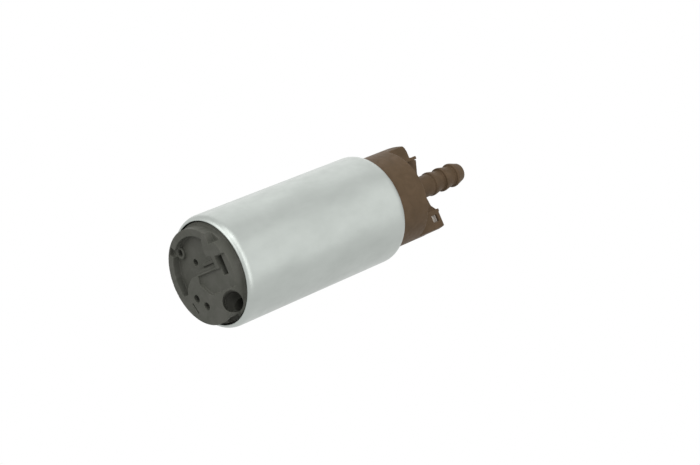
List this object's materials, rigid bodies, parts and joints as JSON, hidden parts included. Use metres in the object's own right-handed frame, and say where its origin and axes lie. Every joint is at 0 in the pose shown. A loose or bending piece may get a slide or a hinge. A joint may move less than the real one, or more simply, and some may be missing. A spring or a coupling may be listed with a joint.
{
  "type": "in-tank fuel pump",
  "caption": "Cylindrical electric in-tank turbine fuel pump with a plated steel shell, a moulded inlet cover with side port and a moulded outlet cover with barbed nipple and terminal towers.",
  "frame": {"origin": "centre of the inlet cover's front face, which the upright pump stands on", "axes": "+Z along the pump's axis from the inlet cover to the barbed nipple, +X to terminal 1, the terminal tower on the inlet port's side"},
  "size_m": [0.038, 0.038, 0.1208],
  "materials": {
    "zinc_plated_steel": "satin",
    "grey_pps": "satin moulded",
    "dark_pps": "satin moulded",
    "brown_pps": "satin moulded",
    "natural_acetal": "satin moulded",
    "ground_steel": "ground",
    "spring_steel": "drawn",
    "lamination_steel": "stamped",
    "white_polyamide": "satin moulded",
    "enamelled_copper": "enamelled wire",
    "ferrite": "sintered",
    "sintered_bronze": "sintered",
    "carbon": "pressed",
    "tinned_brass": "tin plated",
    "brass": "turned",
    "fuel_rubber": "matt"
  },
  "bodies": {
    "housing": {"shell_tube": "zinc_plated_steel", "inlet_cover": "grey_pps", "channel_plate": "dark_pps", "outlet_cover": "brown_pps", "brush_carrier": "natural_acetal", "thrust_button": "ground_steel", "magnet_clip_1": "spring_steel", "magnet_clip_2": "spring_steel", "brush_spring_1": "spring_steel", "brush_spring_2": "spring_steel", "check_spring": "spring_steel", "relief_spring": "spring_steel", "choke_coil_1": "enamelled_copper", "choke_coil_2": "enamelled_copper", "brush_lead_1": "enamelled_copper", "brush_lead_2": "enamelled_copper", "magnet_1": "ferrite", "magnet_2": "ferrite", "choke_core_1": "ferrite", "choke_core_2": "ferrite", "lower_bush": "sintered_bronze", "upper_bush": "sintered_bronze", "terminal_1": "tinned_brass", "terminal_2": "tinned_brass", "check_seat": "brass", "relief_cap": "brass", "outlet_seal": "fuel_rubber"},
    "rotor": {"shaft": "ground_steel", "armature_core": "lamination_steel", "insulator_lower": "white_polyamide", "insulator_upper": "white_polyamide", "armature_winding": "enamelled_copper", "commutator_base": "dark_pps", "commutator_segment_1": "carbon", "commutator_segment_2": "carbon", "commutator_segment_3": "carbon", "commutator_segment_4": "carbon", "commutator_segment_5": "carbon", "commutator_segment_6": "carbon", "commutator_segment_7": "carbon", "commutator_segment_8": "carbon", "impeller": "dark_pps"},
    "check_valve": {"check_plunger": "white_polyamide"},
    "relief_valve": {"relief_ball": "ground_steel"},
    "brush_1_body": {"brush_1": "carbon"},
    "brush_2_body": {"brush_2": "carbon"}
  },
  "joints": [
    {"name": "rotor_spin", "type": "hinge", "parent": "housing", "child": "rotor", "pos_m": [0, 0, 0.042], "axis": [0, 0, 1], "continuous": true},
    {"name": "check_valve_lift", "type": "slide", "parent": "housing", "child": "check_valve", "axis": [0, 0, 1], "range_m": [0, 0.002], "stiffness_N_per_m": 60, "springref_m": -0.004, "deforming": ["check_spring"]},
    {"name": "relief_valve_lift", "type": "slide", "parent": "housing", "child": "relief_valve", "axis": [0, 0, 1], "range_m": [0, 0.0008], "stiffness_N_per_m": 400, "springref_m": -0.004, "deforming": ["relief_spring"]},
    {"name": "brush_1_slide", "type": "slide", "parent": "housing", "child": "brush_1_body", "axis": [0, 0, 1], "range_m": [0, 0.003], "stiffness_N_per_m": 80, "springref_m": -0.008, "deforming": ["brush_spring_1", "brush_lead_1"]},
    {"name": "brush_2_slide", "type": "slide", "parent": "housing", "child": "brush_2_body", "axis": [0, 0, 1], "range_m": [0, 0.003], "stiffness_N_per_m": 80, "springref_m": -0.008, "deforming": ["brush_spring_2", "brush_lead_2"]}
  ]
}
